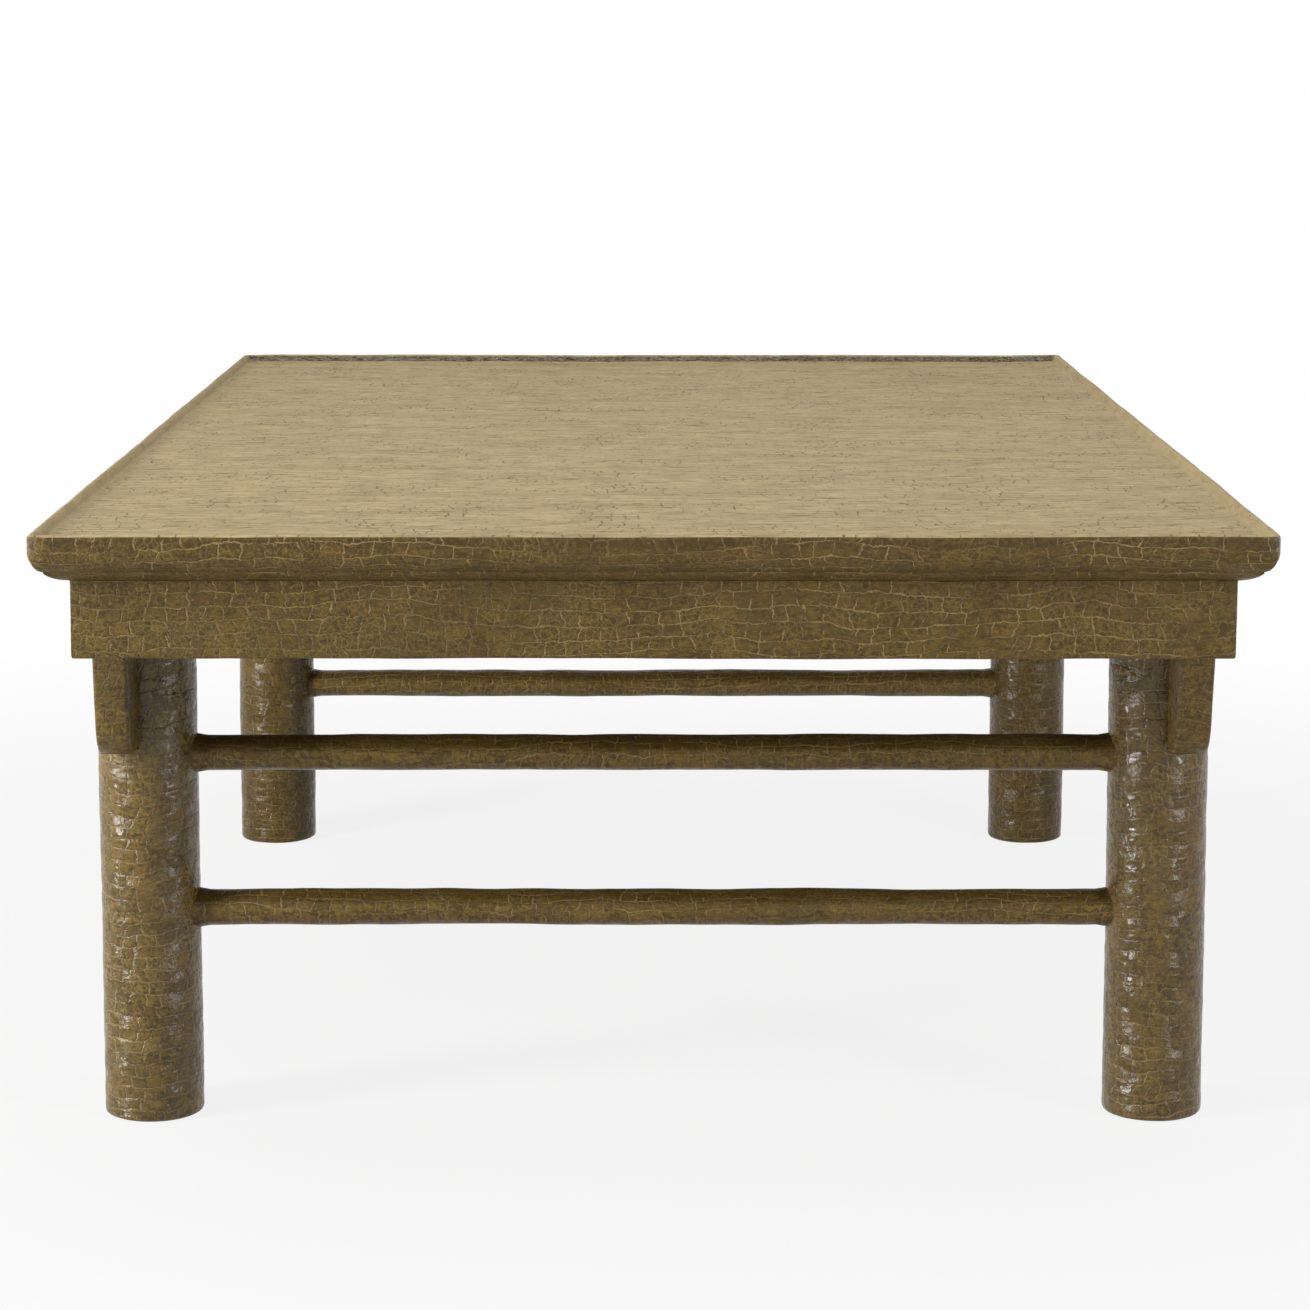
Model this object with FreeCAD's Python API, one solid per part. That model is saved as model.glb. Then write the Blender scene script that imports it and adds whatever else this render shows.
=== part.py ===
import FreeCAD, Part
import math
import os

os.makedirs("parts", exist_ok=True)

# A low table with recessed round legs and a mitred, moulded top frame, all lacquered.
# Millimetres. +Z is up, X runs across the table and Y along it, from the front end to the rear.
# The origin is on the floor under the middle of the top.

# Overall size
table_length = 1420.0
table_width = 887.0
table_height = 484.0

# Fits shared by all joints
joint_clearance = 0.2
joint_end_gap = 1.0
cut_overrun = 5.0

# Top frame with its moulded edge, measured in from the edge and down from the crest of the lip
frame_depth = 36.0
frame_member_width = 105.0
edge_band_depth = 13.5
thumb_depth = 14.0
thumb_inset = 9.8
thumb_middle_shares = (0.275, 0.61)
edge_step_depth = 1.7
edge_step_inset = 12.0
soffit_inset = 23.0

# Raised lip, four mitred strips tongued into the top frame flush with its edge
lip_height = 7.0
lip_crest_width = 6.5
lip_cove_width = 12.0
lip_cove_middle_shares = (0.36, 0.60)
lip_edge_radius = 4.5
lip_tongue_width = 6.0
lip_tongue_depth = 4.0

# Mitred corner of the top frame: a blind tenon on the side member, locked by a peg from below
corner_tenon_inset = 43.0
corner_tenon_width = 46.0
corner_tenon_thickness = 11.0
corner_tenon_end_wall = 24.0
peg_diameter = 8.0
peg_tenon_margin = 11.0
peg_top_length = 3.0

# Floating panel of tongued boards, carried by dovetailed battens
panel_board_count = 4
panel_thickness = 14.0
panel_tongue_length = 9.0
panel_tongue_thickness = 7.0
board_tongue_length = 5.0
board_tongue_thickness = 4.0
batten_width = 30.0
batten_depth = 23.0
batten_place_shares = (-0.54, 0.0, 0.54)
dovetail_depth = 4.0
dovetail_neck_width = 20.0
dovetail_head_width = 26.0
batten_tenon_length = 15.0
batten_tenon_width = 20.0
batten_tenon_height_share = 0.6

# Aprons, tongued into the frame and mitred at the corners over loose splines
apron_inset = 26.35
apron_thickness = 26.0
apron_height = 57.2
apron_arris_radius = 3.0
apron_tongue_thickness = 8.0
apron_tongue_height = 5.0
spline_width = 16.0
spline_thickness = 4.0
spline_bottom_margin = 10.0

# Spandrel boards under the side aprons, one through each leg
spandrel_drop = 96.8
spandrel_top_reach = 100.0
spandrel_bottom_reach = 80.6
spandrel_corner_radius = 28.0
spandrel_arris_radius = 2.5
spandrel_tongue_thickness = 8.0
spandrel_tongue_height = 8.0
spandrel_tongue_margin = 12.0

# Round legs, slotted for the boards and double tenoned into the side members of the frame
leg_diameter = 76.5
leg_side_inset = 54.0
leg_end_inset = 223.0
foot_edge_radius = 4.0
leg_tenon_length = 13.0
leg_tenon_thickness = 14.0
leg_tenon_width = 14.0
leg_tenon_spacing = 26.0
leg_tenon_setback = 6.0

# Oval stretchers between the legs at each end
stretcher_height = 27.5
stretcher_depth = 32.0
upper_stretcher_level = 284.0
lower_stretcher_level = 162.0
stretcher_tenon_length = 26.0
stretcher_tenon_height = 16.0
stretcher_tenon_thickness = 12.0

# Places worked out from the sizes
half_length = table_length / 2
half_width = table_width / 2
soffit_z = table_height - frame_depth
deck_z = table_height - lip_height
lip_width = lip_crest_width + lip_cove_width
panel_bottom_z = deck_z - panel_thickness
panel_tongue_top_z = panel_bottom_z + panel_tongue_thickness
apron_half_width = half_width - apron_inset
apron_half_length = half_length - apron_inset
apron_bottom_z = soffit_z - apron_height
apron_inner_inset = apron_inset + apron_thickness
spandrel_bottom_z = apron_bottom_z - spandrel_drop
opening_x = half_width - frame_member_width
opening_y = half_length - frame_member_width
leg_radius = leg_diameter / 2
leg_x = half_width - leg_side_inset
leg_y = half_length - leg_end_inset
leg_outer_face_x = apron_inset - leg_side_inset
leg_inner_face_x = leg_outer_face_x + apron_thickness
apron_groove_top_z = soffit_z + apron_tongue_height + joint_end_gap
corner_tenon_z = (apron_groove_top_z + deck_z) / 2
corner_tenon_top_z = corner_tenon_z + corner_tenon_thickness / 2
peg_side_inset = corner_tenon_inset + corner_tenon_width - peg_tenon_margin
peg_end_inset = (peg_side_inset + apron_inner_inset) / 2
batten_tenon_z = (soffit_z + panel_bottom_z) / 2
batten_tenon_height = (panel_bottom_z - soffit_z) * batten_tenon_height_share
batten_places = [share * opening_y for share in batten_place_shares]
stretcher_levels = {"upper": upper_stretcher_level, "lower": lower_stretcher_level}
ends = (-1, 1)


def point(x, y, z):
    return FreeCAD.Vector(x, y, z)


def around(middle, size, clearance=0):
    """The two limits of a size about its middle, widened by a clearance on each side."""
    return (middle - size / 2 - clearance, middle + size / 2 + clearance)


def block(x_limits, y_limits, z_limits):
    """A square-edged block between three pairs of limits."""
    low = point(min(x_limits), min(y_limits), min(z_limits))
    high = point(max(x_limits), max(y_limits), max(z_limits))
    size = high - low
    return Part.makeBox(size.x, size.y, size.z, low)


def quarter_round(start, corner, end):
    """The middle and the end of an arc that rounds a square corner."""
    centre = start + end - corner
    return (centre + (corner - centre) * (1 / math.sqrt(2)), end)


def outline_face(start, *steps):
    """A closed face; each step is the end of a line, or the middle and end of an arc."""
    edges = []
    here = start
    for step in steps:
        if isinstance(step, tuple):
            middle, end = step
            edges.append(Part.Arc(here, middle, end).toShape())
        else:
            end = step
            edges.append(Part.makeLine(here, end))
        here = end
    return Part.Face(Part.Wire(edges))


def turned(shape, degrees):
    """A copy turned about the table's upright axis."""
    copy = shape.copy()
    copy.rotate(point(0, 0, 0), point(0, 0, 1), degrees)
    return copy


def moved(shape, x, y):
    copy = shape.copy()
    copy.translate(point(x, y, 0))
    return copy


def save(name, shape):
    shape.removeSplitter().exportStep(os.path.join("parts", name + ".step"))


def mitred_bar(section, half_across, half_run, bar_width):
    """A bar along Y whose section is drawn by section(at), with both ends cut at 45 degrees."""
    start_y = -half_run - cut_overrun
    outer_x = -half_across - cut_overrun
    inner_x = -half_across + bar_width + cut_overrun
    inner_run = half_run - bar_width - cut_overrun

    def at(inset, z):
        return point(-half_across + inset, start_y, z)

    bar = section(at).extrude(point(0, -2 * start_y, 0))
    mitres = outline_face(
        point(outer_x, start_y, 0),
        point(inner_x, -inner_run, 0),
        point(inner_x, inner_run, 0),
        point(outer_x, -start_y, 0),
        point(outer_x, start_y, 0),
    )
    return bar.common(mitres.extrude(point(0, 0, table_height + cut_overrun)))


def frame_section(at):
    """Deck, lip groove, panel groove, apron groove and moulded edge of a top frame member."""
    thumb_inset_share, thumb_height_share = thumb_middle_shares
    band_z = table_height - edge_band_depth
    thumb_z = band_z - thumb_depth
    groove_x = frame_member_width - panel_tongue_length - joint_end_gap
    groove_top_z = panel_tongue_top_z + joint_clearance
    apron_groove = around(apron_inset + apron_thickness / 2, apron_tongue_thickness, joint_clearance)
    lip_groove = around(lip_width / 2, lip_tongue_width, joint_clearance)
    lip_groove_z = deck_z - lip_tongue_depth - joint_end_gap
    thumb_middle = at(thumb_inset * thumb_inset_share, band_z - thumb_depth * thumb_height_share)
    return outline_face(
        at(0, band_z),
        at(0, deck_z),
        at(lip_groove[0], deck_z),
        at(lip_groove[0], lip_groove_z),
        at(lip_groove[1], lip_groove_z),
        at(lip_groove[1], deck_z),
        at(frame_member_width, deck_z),
        at(frame_member_width, groove_top_z),
        at(groove_x, groove_top_z),
        at(groove_x, panel_bottom_z),
        at(frame_member_width, panel_bottom_z),
        at(frame_member_width, soffit_z),
        at(apron_groove[1], soffit_z),
        at(apron_groove[1], apron_groove_top_z),
        at(apron_groove[0], apron_groove_top_z),
        at(apron_groove[0], soffit_z),
        at(soffit_inset, soffit_z),
        at(edge_step_inset, thumb_z - edge_step_depth),
        at(thumb_inset, thumb_z),
        (thumb_middle, at(0, band_z)),
    )


def lip_section(at):
    """The raised lip, with a rounded outer edge, a cove inside and a tongue below."""
    cove_inset_share, cove_height_share = lip_cove_middle_shares
    cove_middle = at(
        lip_crest_width + lip_cove_width * cove_inset_share,
        table_height - lip_height * cove_height_share,
    )
    tongue = around(lip_width / 2, lip_tongue_width)
    tongue_z = deck_z - lip_tongue_depth
    lip_side = at(0, table_height - lip_edge_radius)
    return outline_face(
        at(0, deck_z),
        lip_side,
        quarter_round(lip_side, at(0, table_height), at(lip_edge_radius, table_height)),
        at(lip_crest_width, table_height),
        (cove_middle, at(lip_width, deck_z)),
        at(tongue[1], deck_z),
        at(tongue[1], tongue_z),
        at(tongue[0], tongue_z),
        at(tongue[0], deck_z),
        at(0, deck_z),
    )


def corner_tenon(side, end, clearance, end_gap):
    """The tenon at one corner of the frame, or with a clearance and end gap, its mortise."""
    tenon_middle_x = half_width - corner_tenon_inset - corner_tenon_width / 2
    tip_y = half_length - corner_tenon_end_wall + end_gap
    return block(
        around(side * tenon_middle_x, corner_tenon_width, clearance),
        (end * opening_y, end * tip_y),
        around(corner_tenon_z, corner_tenon_thickness, clearance),
    )


def corner_peg(side, end, clearance, end_gap):
    """The peg that locks one corner tenon, or with a clearance and end gap, its hole."""
    peg_x = side * (half_width - peg_side_inset)
    peg_y = end * (half_length - peg_end_inset)
    foot = point(peg_x, peg_y, soffit_z - end_gap)
    length = corner_tenon_top_z + peg_top_length - soffit_z + 2 * end_gap
    return Part.makeCylinder(peg_diameter / 2 + clearance, length, foot)


def leg_tenons(clearance, end_gap):
    """The two tenons on top of a left leg, about the leg's axis, or their mortises."""
    tenon_x = leg_inner_face_x + leg_tenon_setback + leg_tenon_thickness / 2
    x_limits = around(tenon_x, leg_tenon_thickness, clearance)
    z_limits = (soffit_z - leg_tenon_length, soffit_z + leg_tenon_length + end_gap)
    return [
        block(x_limits, around(end * leg_tenon_spacing / 2, leg_tenon_width, clearance), z_limits)
        for end in ends
    ]


def side_frame_member():
    """The left member of the top frame, with corner tenons and mortises for legs and battens."""
    member = mitred_bar(frame_section, half_width, half_length, frame_member_width)
    for end in ends:
        member = member.fuse(corner_tenon(-1, end, 0, 0))
        member = member.cut(corner_peg(-1, end, joint_clearance, joint_end_gap))
        for tenon in leg_tenons(joint_clearance, joint_end_gap):
            member = member.cut(moved(tenon, -leg_x, end * leg_y))
    for place in batten_places:
        mortise = block(
            (-opening_x - batten_tenon_length - joint_end_gap, -opening_x + cut_overrun),
            around(place, batten_tenon_width, joint_clearance),
            around(batten_tenon_z, batten_tenon_height, joint_clearance),
        )
        member = member.cut(mortise)
    return member


def end_frame_member():
    """The front member of the top frame, mortised at both corners."""
    member = turned(mitred_bar(frame_section, half_length, half_width, frame_member_width), 90)
    for side in ends:
        member = member.cut(corner_tenon(side, -1, joint_clearance, joint_end_gap))
        member = member.cut(corner_peg(side, -1, joint_clearance, joint_end_gap))
    return member


def side_lip():
    """The left strip of the raised lip."""
    return mitred_bar(lip_section, half_width, half_length, lip_width)


def end_lip():
    """The front strip of the raised lip."""
    return turned(mitred_bar(lip_section, half_length, half_width, lip_width), 90)


def dovetail_bar(place, half_run, clearance):
    """The sliding dovetail along the top of a batten, or with a clearance, its groove."""
    neck = around(place, dovetail_neck_width, clearance)
    head = around(place, dovetail_head_width, clearance)
    head_z = panel_bottom_z + dovetail_depth + clearance
    foot_z = panel_bottom_z - clearance
    section = outline_face(
        point(-half_run, neck[0], foot_z),
        point(-half_run, head[0], head_z),
        point(-half_run, head[1], head_z),
        point(-half_run, neck[1], foot_z),
        point(-half_run, neck[0], foot_z),
    )
    return section.extrude(point(2 * half_run, 0, 0))


def batten(place):
    """A batten across the panel, dovetailed into the boards and tenoned into the side members."""
    body = block(
        (-opening_x, opening_x),
        around(place, batten_width),
        (panel_bottom_z - batten_depth, panel_bottom_z),
    )
    tenon_reach = opening_x + batten_tenon_length
    tenons = block(
        (-tenon_reach, tenon_reach),
        around(place, batten_tenon_width),
        around(batten_tenon_z, batten_tenon_height),
    )
    return body.fuse([tenons, dovetail_bar(place, opening_x, 0)])


def panel_board(index):
    """One lengthwise board of the panel, counted from the left."""
    board_width = 2 * opening_x / panel_board_count
    left = -opening_x + index * board_width
    right = left + board_width
    is_first = index == 0
    is_last = index == panel_board_count - 1
    joint_z = (panel_bottom_z + dovetail_depth + deck_z) / 2
    body_left = left + joint_clearance if is_first else left
    body_right = right - joint_clearance if is_last else right
    tongue_left = left - panel_tongue_length if is_first else left
    tongue_right = right + panel_tongue_length if is_last else right
    body_y = around(0, 2 * opening_y, -joint_clearance)
    tongue_y = around(0, 2 * opening_y, panel_tongue_length)
    board = block((body_left, body_right), body_y, (panel_bottom_z, deck_z))
    end_tongues = block((tongue_left, tongue_right), tongue_y, (panel_bottom_z, panel_tongue_top_z))
    board = board.fuse(end_tongues)
    if not is_last:
        tongue_x = around(right, 2 * board_tongue_length)
        tongue_z = around(joint_z, board_tongue_thickness)
        board = board.fuse(block(tongue_x, body_y, tongue_z))
    if not is_first:
        groove_x = (left - cut_overrun, left + board_tongue_length + joint_end_gap)
        groove_y = around(0, 2 * opening_y, cut_overrun)
        groove_z = around(joint_z, board_tongue_thickness, joint_clearance)
        board = board.cut(block(groove_x, groove_y, groove_z))
    for place in batten_places:
        board = board.cut(dovetail_bar(place, half_width, joint_clearance))
    return board


def apron_section(at):
    """An apron board with rounded lower arrises and a tongue along its top edge."""
    tongue = around(apron_thickness / 2, apron_tongue_thickness)
    tongue_top_z = soffit_z + apron_tongue_height
    outer_arris = at(0, apron_bottom_z + apron_arris_radius)
    inner_arris = at(apron_thickness, apron_bottom_z + apron_arris_radius)
    inner_foot = at(apron_thickness - apron_arris_radius, apron_bottom_z)
    outer_foot = at(apron_arris_radius, apron_bottom_z)
    return outline_face(
        outer_arris,
        at(0, soffit_z),
        at(tongue[0], soffit_z),
        at(tongue[0], tongue_top_z),
        at(tongue[1], tongue_top_z),
        at(tongue[1], soffit_z),
        at(apron_thickness, soffit_z),
        inner_arris,
        quarter_round(inner_arris, at(apron_thickness, apron_bottom_z), inner_foot),
        outer_foot,
        quarter_round(outer_foot, at(0, apron_bottom_z), outer_arris),
    )


def corner_spline(side, end, clearance, end_gap, top_z):
    """The loose spline across one mitre of the aprons, or with a clearance and end gap, its groove."""
    spline = block(
        around(0, spline_width, end_gap),
        around(0, spline_thickness, clearance),
        (apron_bottom_z + spline_bottom_margin, top_z),
    )
    middle_inset = apron_inset + apron_thickness / 2
    spline = turned(spline, -45 * side * end)
    return moved(spline, side * (half_width - middle_inset), end * (half_length - middle_inset))


def spandrel_tongue(clearance, end_gap):
    """The tongue along the top of a spandrel, about the leg's axis, or its groove."""
    return block(
        around((leg_outer_face_x + leg_inner_face_x) / 2, spandrel_tongue_thickness, clearance),
        around(0, 2 * (spandrel_top_reach - spandrel_tongue_margin), end_gap),
        (apron_bottom_z - end_gap, apron_bottom_z + spandrel_tongue_height + end_gap),
    )


def side_apron():
    """The left apron, grooved below for its two spandrels."""
    apron = mitred_bar(apron_section, apron_half_width, apron_half_length, apron_thickness)
    for end in ends:
        apron = apron.cut(corner_spline(-1, end, joint_clearance, joint_end_gap, table_height))
        apron = apron.cut(moved(spandrel_tongue(joint_clearance, joint_end_gap), -leg_x, end * leg_y))
    return apron


def end_apron():
    """The front apron."""
    apron = turned(mitred_bar(apron_section, apron_half_length, apron_half_width, apron_thickness), 90)
    for side in ends:
        apron = apron.cut(corner_spline(side, -1, joint_clearance, joint_end_gap, table_height))
    return apron


def spandrel():
    """A spandrel board about the axis of a left leg, tapered, with rounded lower corners."""
    board = outline_face(
        point(leg_outer_face_x, -spandrel_top_reach, apron_bottom_z),
        point(leg_outer_face_x, -spandrel_bottom_reach, spandrel_bottom_z),
        point(leg_outer_face_x, spandrel_bottom_reach, spandrel_bottom_z),
        point(leg_outer_face_x, spandrel_top_reach, apron_bottom_z),
        point(leg_outer_face_x, -spandrel_top_reach, apron_bottom_z),
    ).extrude(point(apron_thickness, 0, 0))
    lower_corners = [
        edge for edge in board.Edges
        if edge.BoundBox.ZMax < spandrel_bottom_z + joint_clearance
        and edge.BoundBox.YLength < joint_clearance
    ]
    board = board.makeFillet(spandrel_corner_radius, lower_corners)
    arrises = [
        edge for edge in board.Edges
        if edge.BoundBox.ZMin < apron_bottom_z - joint_clearance
        and edge.BoundBox.XLength < joint_clearance
    ]
    board = board.makeFillet(spandrel_arris_radius, arrises)
    return board.fuse(spandrel_tongue(0, 0))


def leg():
    """A left leg about its own axis, with its outer side towards -X."""
    foot_edge = point(leg_radius - foot_edge_radius, 0, 0)
    foot_side = point(leg_radius, 0, foot_edge_radius)
    half_section = outline_face(
        point(0, 0, 0),
        foot_edge,
        quarter_round(foot_edge, point(leg_radius, 0, 0), foot_side),
        point(leg_radius, 0, soffit_z),
        point(0, 0, soffit_z),
        point(0, 0, 0),
    )
    post = half_section.revolve(point(0, 0, 0), point(0, 0, 1), 360)
    slot = block(
        (leg_outer_face_x - joint_clearance, leg_inner_face_x + joint_clearance),
        around(0, leg_diameter, cut_overrun),
        (spandrel_bottom_z, soffit_z + cut_overrun),
    )
    post = post.cut(slot).fuse(leg_tenons(0, 0))
    for level in stretcher_levels.values():
        mortise = block(
            (leg_radius - stretcher_tenon_length - joint_end_gap, leg_radius + cut_overrun),
            around(0, stretcher_tenon_thickness, joint_clearance),
            around(level, stretcher_tenon_height, joint_clearance),
        )
        post = post.cut(mortise)
    return post


def stretcher(level):
    """A front stretcher, coped to the legs and tenoned into them."""
    centre = point(-leg_x, -leg_y, level)
    half_axes = [point(0, stretcher_depth / 2, 0), point(0, 0, stretcher_height / 2)]
    minor, major = sorted(half_axes, key=lambda axis: axis.Length)
    oval = Part.Ellipse(centre + major, centre + minor, centre).toShape()
    rail = Part.Face(Part.Wire(oval)).extrude(point(2 * leg_x, 0, 0))
    for side in ends:
        cope_foot = point(side * leg_x, -leg_y, level - stretcher_height)
        cope = Part.makeCylinder(leg_radius + joint_clearance, 2 * stretcher_height, cope_foot)
        rail = rail.cut(cope)
    tenon_reach = leg_x - leg_radius + stretcher_tenon_length
    tenons = block(
        (-tenon_reach, tenon_reach),
        around(-leg_y, stretcher_tenon_thickness),
        around(level, stretcher_tenon_height),
    )
    return rail.fuse(tenons)


def save_pair(name, shape, first, second):
    """Save a piece and the same piece turned to the other side of the table."""
    save(name + "_" + first, shape)
    save(name + "_" + second, turned(shape, 180))


save_pair("top_frame", side_frame_member(), "left", "right")
save_pair("top_frame", end_frame_member(), "front", "rear")
save_pair("top_lip", side_lip(), "left", "right")
save_pair("top_lip", end_lip(), "front", "rear")
save_pair("side_apron", side_apron(), "left", "right")
save_pair("end_apron", end_apron(), "front", "rear")

for number in range(panel_board_count):
    save("panel_board_" + str(number + 1), panel_board(number))
for batten_name, batten_place in zip(("front", "middle", "rear"), batten_places):
    save("panel_batten_" + batten_name, batten(batten_place))

for piece_name, piece in (("leg", leg()), ("spandrel", spandrel())):
    save_pair(piece_name, moved(piece, -leg_x, -leg_y), "front_left", "rear_right")
    save_pair(piece_name, moved(piece, -leg_x, leg_y), "rear_left", "front_right")
for level_name, stretcher_level in stretcher_levels.items():
    save_pair(level_name + "_stretcher", stretcher(stretcher_level), "front", "rear")

corners = [(side, end) for side in ends for end in ends]
spline_top_z = soffit_z - joint_end_gap
splines = [corner_spline(*corner, 0, 0, spline_top_z) for corner in corners]
pegs = [corner_peg(*corner, 0, 0) for corner in corners]
save("apron_corner_splines", Part.makeCompound(splines))
save("frame_corner_pegs", Part.makeCompound(pegs))
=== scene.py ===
import math
from collections import namedtuple

import bmesh
import bpy
from mathutils import Matrix, Vector, noise


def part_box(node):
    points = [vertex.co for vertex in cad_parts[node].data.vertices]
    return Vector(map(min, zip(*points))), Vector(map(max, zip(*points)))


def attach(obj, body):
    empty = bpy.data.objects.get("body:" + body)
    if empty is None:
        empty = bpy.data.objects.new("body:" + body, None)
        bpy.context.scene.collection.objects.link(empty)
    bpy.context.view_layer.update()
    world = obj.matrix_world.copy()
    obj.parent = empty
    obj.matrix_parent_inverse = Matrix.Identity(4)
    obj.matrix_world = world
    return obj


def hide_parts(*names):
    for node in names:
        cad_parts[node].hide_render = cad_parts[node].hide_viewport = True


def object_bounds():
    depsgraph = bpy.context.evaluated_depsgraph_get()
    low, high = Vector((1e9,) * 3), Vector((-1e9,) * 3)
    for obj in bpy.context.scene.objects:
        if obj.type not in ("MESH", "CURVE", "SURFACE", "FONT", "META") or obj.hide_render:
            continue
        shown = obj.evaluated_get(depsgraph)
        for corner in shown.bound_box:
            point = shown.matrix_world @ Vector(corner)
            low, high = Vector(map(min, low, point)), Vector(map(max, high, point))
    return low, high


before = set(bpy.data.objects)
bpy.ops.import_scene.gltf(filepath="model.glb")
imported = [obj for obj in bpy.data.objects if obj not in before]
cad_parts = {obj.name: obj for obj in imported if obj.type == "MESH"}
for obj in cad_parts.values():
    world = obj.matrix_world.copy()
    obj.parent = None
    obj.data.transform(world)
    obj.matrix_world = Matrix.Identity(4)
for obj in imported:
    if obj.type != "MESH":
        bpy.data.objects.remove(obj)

cad_low, cad_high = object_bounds()

# Places of the table, read from the frame, in metres
half_width = cad_high.x
half_length = cad_high.y
lip_z = cad_high.z
soffit_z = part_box("top_frame_front")[0].z
deck_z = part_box("panel_board_1")[1].z
panel_bottom_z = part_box("panel_board_1")[0].z
opening_x = -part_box("top_frame_left")[1].x
opening_y = -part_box("top_frame_front")[1].y
frame_width = half_width - opening_x
apron_low, apron_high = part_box("end_apron_front")
apron_half_width = apron_high.x
apron_half_length = -apron_low.y
apron_thickness = apron_high.y - apron_low.y
apron_bottom_z = apron_low.z
leg_low, leg_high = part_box("leg_front_right")
leg_radius = (leg_high.x - leg_low.x) / 2
leg_x = leg_high.x - leg_radius
leg_y = -leg_low.y - leg_radius
spandrel_low, spandrel_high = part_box("spandrel_front_right")
spandrel_bottom_z = spandrel_low.z
spandrel_reach = (spandrel_high.y - spandrel_low.y) / 2

# Moulded edge of the top frame, insets from its edge and depths below the lip
lip_edge_radius = 0.004
lip_crest_width = 0.0065
lip_crest_drop = 0.001
lip_cove_width = 0.012
lip_slope_share = 0.15
lip_slope_drop_share = 0.77
lip_cove_corner_share = 1.5
edge_band_depth = 0.0135
thumb_depth = 0.014
thumb_inset = 0.0098
thumb_turn = (0.06, 0.72)
edge_step_depth = 0.0017
edge_step_inset = 0.011
soffit_inset = 0.0255
soffit_turn = (0.33, 0.68)
frame_corner_radius = 0.0075

# Aprons and spandrels
apron_arris_radius = 0.003
apron_fillet_width = 0.0018
apron_fillet_height = 0.0016
apron_corner_radius = 0.0025
spandrel_bottom_reach = 0.0806
spandrel_corner_radius = 0.028
spandrel_arris_radius = 0.0028

# Legs and stretchers
foot_edge_radius = 0.004
leg_wave_length = 0.0095
leg_wave_depth = 0.0004
leg_wave_drawn_share = 0.3
stretcher_flare = 0.0016
stretcher_flare_length = 0.005
stretcher_seat = 0.0012
broad_swell_length = 0.11
broad_swell_depth = 0.0008
fine_swell_length = 0.035
fine_swell_height = 0.02
fine_swell_depth = 0.0006
broad_swell_shifts = (9, 31)
fine_swell_shift = 77

# Mesh steps
long_step = 0.008
hidden_step = 3 * long_step
leg_step = 0.0027
leg_sides = 96
stretcher_sides = 36
corner_cuts = 4
bend_steps = 5
wide_bend_steps = 8
small_bend_steps = 2
arris_segments = 3
sharp_angle = math.radians(40)

# Slack and limits for telling faces and edges apart
touching = 0.00001
edge_slack = 0.001
lip_least_rise = 0.0008
level_share = 0.5

# Unevenness left by hand work and thick lacquer, as wave length and depth, alike on every run
worked_waves = ((0.17, 0.0007), (0.05, 0.0004), (0.015, 0.00014))
noise_seed = 1
noise.seed_set(noise_seed)

# Millimetres in a metre
mm = 1000.0

# Crackle, in millimetres and shares, with shifts that set rows, legs and patterns apart
noise_shift = (431.0, 77.0, 219.0)
row_shift = 19.7
row_slant_shift = 37.0
row_mask_shift = 53.0
leg_shift_x = 33.0
leg_shift_y = 71.0
stretcher_wrap = 0.8
fine_cell = 5.0
fine_line_share = 0.32
soil_and_shade_fade = 0.3
crack_slope_width = 1.4
crack_depth = 0.22
speckle_grit_share = 1.5
lacquer_relief = 0.001

# Lacquer of the flat top and, with fainter marks, of the side lips; its paleness is partly a painted sheen
top_cell = (15.0, 11.0)
top_mark_share = 0.85
side_lip_mark_share = 0.3
top_least_paleness_and_sheen = 0.46
top_streak_paleness = 0.7
top_roughness = 0.68
top_crack_roughness = 0.2
top_gloss_level = 0.2
top_relief = 0.0005

# Studio, in metres, degrees, millimetres of lens and shares of white
floor_half_size = 30.0
floor_near, floor_far = 0.7, 2.0
floor_near_glow = 0.85
world_light = 0.12
camera_sensor = 36.0
camera_lens = 100.97
camera_shift = (0.0054, -0.09)
camera_place = (-0.004, -3.2726, 0.8424)
camera_dip = 7.987

UPPER_SIDE = "upper_side"

# What a crackle gives at a point, and where and how strongly soil and painted shade darken a finish
Crackle = namedtuple("Crackle", "row row_gap cross_gap chance lean_height")
SoilAndShade = namedtuple("SoilAndShade", "measure clean full strength streak_level")


def tint(red, green, blue):
    return (red, green, blue, 1.0)


# Colours of lacquer, cracks, painted shade, bare wood and studio, as shares of light; the pale top colour is
# partly a painted sheen
DARK_LACQUER = tint(0.057, 0.034, 0.005)
OLIVE_LACQUER = tint(0.152, 0.099, 0.018)
AMBER_LACQUER = tint(0.168, 0.100, 0.018)
MOSS_LACQUER = tint(0.108, 0.078, 0.018)
RUSSET_LACQUER = tint(0.126, 0.066, 0.018)
TAN_CRACK = tint(0.345, 0.240, 0.095)
# Dark of deep cracks, also the tone of painted shade
DEEP_CRACK_AND_SHADE = tint(0.044, 0.026, 0.004)
TOP_DARK = tint(0.160, 0.119, 0.053)
# Pale top lacquer, partly a painted sheen of the white surroundings
TOP_PALE_AND_SHEEN = tint(0.397, 0.311, 0.163)
WOOD_BROWN = tint(0.20, 0.115, 0.055)
WOOD_PALE = tint(0.36, 0.235, 0.125)
WOOD_SHADE = tint(0.16, 0.095, 0.045)
FLOOR_GREY = tint(0.50, 0.50, 0.49)
WHITE = tint(1.0, 1.0, 1.0)


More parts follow.
